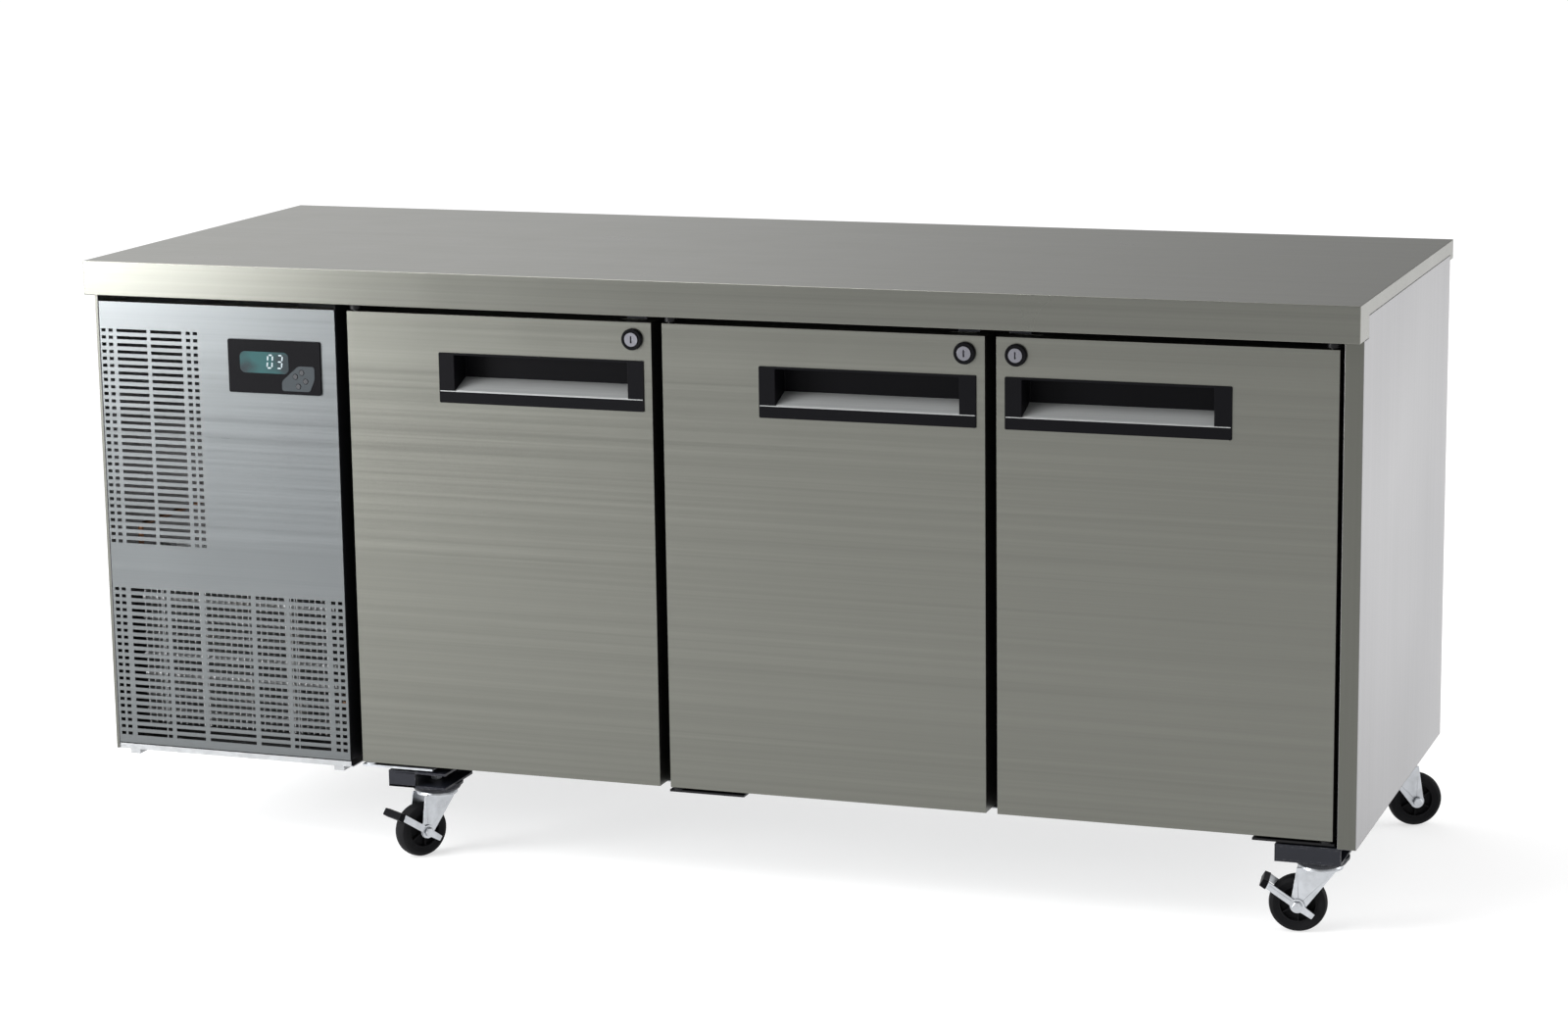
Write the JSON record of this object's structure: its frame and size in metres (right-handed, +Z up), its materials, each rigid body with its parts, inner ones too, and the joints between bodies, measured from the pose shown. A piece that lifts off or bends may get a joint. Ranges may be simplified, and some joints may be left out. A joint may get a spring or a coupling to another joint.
{
  "type": "under counter fridge",
  "caption": "Stainless under counter fridge with hinged doors, recessed handles, a side refrigeration unit behind a louvred panel, and swivel casters.",
  "frame": {"origin": "on the floor under the middle of the worktop", "axes": "+X along the counter to the right seen from the front, +Y to the back, +Z up"},
  "size_m": [1.8777, 0.7, 0.87],
  "materials": {
    "worktop_steel": "satin",
    "panel_steel": "satin",
    "door_steel": "satin",
    "machine_steel": "satin",
    "galvanised": "satin",
    "liner_steel": "satin",
    "core_board": "matte",
    "foam": "matte",
    "black_plastic": "satin",
    "frame_plastic": "matte",
    "inner_plastic": "satin",
    "gasket_rubber": "matte",
    "lens": "gloss",
    "button_plastic": "satin",
    "black_enamel": "satin",
    "fin_aluminium": "satin",
    "copper": "satin",
    "fan_plastic": "satin",
    "motor_steel": "satin",
    "white_plastic": "satin",
    "wire": "gloss",
    "zinc": "satin",
    "lock_chrome": "gloss",
    "wheel_rubber": "matte"
  },
  "bodies": {
    "cabinet": {"worktop_skin": "worktop_steel", "worktop_core": "core_board", "side_panel_right": "panel_steel", "side_panel_left": "panel_steel", "back_panel": "galvanised", "base_pan": "galvanised", "bulkhead": "galvanised", "cabinet_foam": "foam", "cabinet_liner": "liner_steel", "door_frame": "frame_plastic", "machine_front_panel": "machine_steel", "controller_bezel": "black_plastic", "controller_window": "lens", "compressor": "black_enamel", "condenser": "fin_aluminium", "fan_shroud": "galvanised", "fan_motors": "motor_steel", "refrigerant_pipes": "copper", "evaporator_coil": "fin_aluminium", "evaporator_housing": "white_plastic", "wire_shelves": "wire", "shelf_posts": "liner_steel", "hinge_brackets": "zinc", "lock_keepers": "zinc", "caster_mounts": "black_enamel", "cable_gland": "black_plastic"},
    "condenser_fan_rotor": {"condenser_fan": "fan_plastic"},
    "evaporator_fan_rotor": {"evaporator_fan": "fan_plastic"},
    "key_1": {"button_1": "button_plastic"},
    "key_2": {"button_2": "button_plastic"},
    "key_3": {"button_3": "button_plastic"},
    "key_4": {"button_4": "button_plastic"},
    "door_1": {"door_1_shell": "door_steel", "door_1_inner_panel": "inner_plastic", "door_1_gasket": "gasket_rubber", "door_1_handle": "black_plastic", "door_1_lock_housing": "black_plastic"},
    "lock_1": {"door_1_lock_barrel": "lock_chrome"},
    "door_2": {"door_2_shell": "door_steel", "door_2_inner_panel": "inner_plastic", "door_2_gasket": "gasket_rubber", "door_2_handle": "black_plastic", "door_2_lock_housing": "black_plastic"},
    "lock_2": {"door_2_lock_barrel": "lock_chrome"},
    "door_3": {"door_3_shell": "door_steel", "door_3_inner_panel": "inner_plastic", "door_3_gasket": "gasket_rubber", "door_3_handle": "black_plastic", "door_3_lock_housing": "black_plastic"},
    "lock_3": {"door_3_lock_barrel": "lock_chrome"},
    "caster_1_swivel": {"caster_1_fork": "zinc"},
    "caster_1_roller": {"caster_1_wheel": "wheel_rubber"},
    "caster_1_pedal": {"caster_1_brake": "zinc"},
    "caster_2_swivel": {"caster_2_fork": "zinc"},
    "caster_2_roller": {"caster_2_wheel": "wheel_rubber"},
    "caster_2_pedal": {"caster_2_brake": "zinc"},
    "caster_3_swivel": {"caster_3_fork": "zinc"},
    "caster_3_roller": {"caster_3_wheel": "wheel_rubber"},
    "caster_4_swivel": {"caster_4_fork": "zinc"},
    "caster_4_roller": {"caster_4_wheel": "wheel_rubber"}
  },
  "joints": [
    {"name": "condenser_fan_spin", "type": "hinge", "parent": "cabinet", "child": "condenser_fan_rotor", "pos_m": [-0.7385, -0.244, 0.301], "axis": [0, 1, 0], "continuous": true},
    {"name": "evaporator_fan_spin", "type": "hinge", "parent": "cabinet", "child": "evaporator_fan_rotor", "pos_m": [-0.434, 0.01, 0.684], "axis": [1, 0, 0], "continuous": true},
    {"name": "key_1_press", "type": "slide", "parent": "cabinet", "child": "key_1", "axis": [0, 1, 0], "range_m": [0, 0.0008], "stiffness_N_per_m": 400},
    {"name": "key_2_press", "type": "slide", "parent": "cabinet", "child": "key_2", "axis": [0, 1, 0], "range_m": [0, 0.0008], "stiffness_N_per_m": 400},
    {"name": "key_3_press", "type": "slide", "parent": "cabinet", "child": "key_3", "axis": [0, 1, 0], "range_m": [0, 0.0008], "stiffness_N_per_m": 400},
    {"name": "key_4_press", "type": "slide", "parent": "cabinet", "child": "key_4", "axis": [0, 1, 0], "range_m": [0, 0.0008], "stiffness_N_per_m": 400},
    {"name": "door_1_hinge", "type": "hinge", "parent": "cabinet", "child": "door_1", "pos_m": [-0.518, -0.31, 0.142], "axis": [0, 0, -1], "range_deg": [0, 100]},
    {"name": "door_1_lock_turn", "type": "hinge", "parent": "door_1", "child": "lock_1", "pos_m": [-0.08967, -0.32, 0.783], "axis": [0, 1, 0], "range_deg": [0, 90]},
    {"name": "door_2_hinge", "type": "hinge", "parent": "cabinet", "child": "door_2", "pos_m": [-0.03567, -0.31, 0.142], "axis": [0, 0, -1], "range_deg": [0, 100]},
    {"name": "door_2_lock_turn", "type": "hinge", "parent": "door_2", "child": "lock_2", "pos_m": [0.39267, -0.32, 0.783], "axis": [0, 1, 0], "range_deg": [0, 90]},
    {"name": "door_3_hinge", "type": "hinge", "parent": "cabinet", "child": "door_3", "pos_m": [0.893, -0.31, 0.142], "axis": [0, 0, 1], "range_deg": [0, 100]},
    {"name": "door_3_lock_turn", "type": "hinge", "parent": "door_3", "child": "lock_3", "pos_m": [0.46467, -0.32, 0.783], "axis": [0, -1, 0], "range_deg": [0, 90]},
    {"name": "caster_1_swivel", "type": "hinge", "parent": "cabinet", "child": "caster_1_swivel", "pos_m": [-0.434, -0.27, 0.04], "axis": [0, 0, 1], "continuous": true},
    {"name": "caster_1_roll", "type": "hinge", "parent": "caster_1_swivel", "child": "caster_1_roller", "pos_m": [-0.4499, -0.29544, 0.04], "axis": [-0.848, 0.5299, 0], "continuous": true},
    {"name": "caster_1_brake_press", "type": "hinge", "parent": "caster_1_swivel", "child": "caster_1_pedal", "pos_m": [-0.4499, -0.29544, 0.04], "axis": [0.848, -0.5299, 0], "range_deg": [0, 15]},
    {"name": "caster_2_swivel", "type": "hinge", "parent": "cabinet", "child": "caster_2_swivel", "pos_m": [0.878, -0.27, 0.04], "axis": [0, 0, 1], "continuous": true},
    {"name": "caster_2_roll", "type": "hinge", "parent": "caster_2_swivel", "child": "caster_2_roller", "pos_m": [0.84829, -0.27418, 0.04], "axis": [-0.1392, 0.9903, 0], "continuous": true},
    {"name": "caster_2_brake_press", "type": "hinge", "parent": "caster_2_swivel", "child": "caster_2_pedal", "pos_m": [0.84829, -0.27418, 0.04], "axis": [0.1392, -0.9903, 0], "range_deg": [0, 15]},
    {"name": "caster_3_swivel", "type": "hinge", "parent": "cabinet", "child": "caster_3_swivel", "pos_m": [-0.434, 0.273, 0.04], "axis": [0, 0, 1], "continuous": true},
    {"name": "caster_3_roll", "type": "hinge", "parent": "caster_3_swivel", "child": "caster_3_roller", "pos_m": [-0.40802, 0.258, 0.04], "axis": [-0.5, -0.866, 0], "continuous": true},
    {"name": "caster_4_swivel", "type": "hinge", "parent": "cabinet", "child": "caster_4_swivel", "pos_m": [0.878, 0.273, 0.04], "axis": [0, 0, 1], "continuous": true},
    {"name": "caster_4_roll", "type": "hinge", "parent": "caster_4_swivel", "child": "caster_4_roller", "pos_m": [0.90519, 0.28568, 0.04], "axis": [0.4226, -0.9063, 0], "continuous": true}
  ]
}
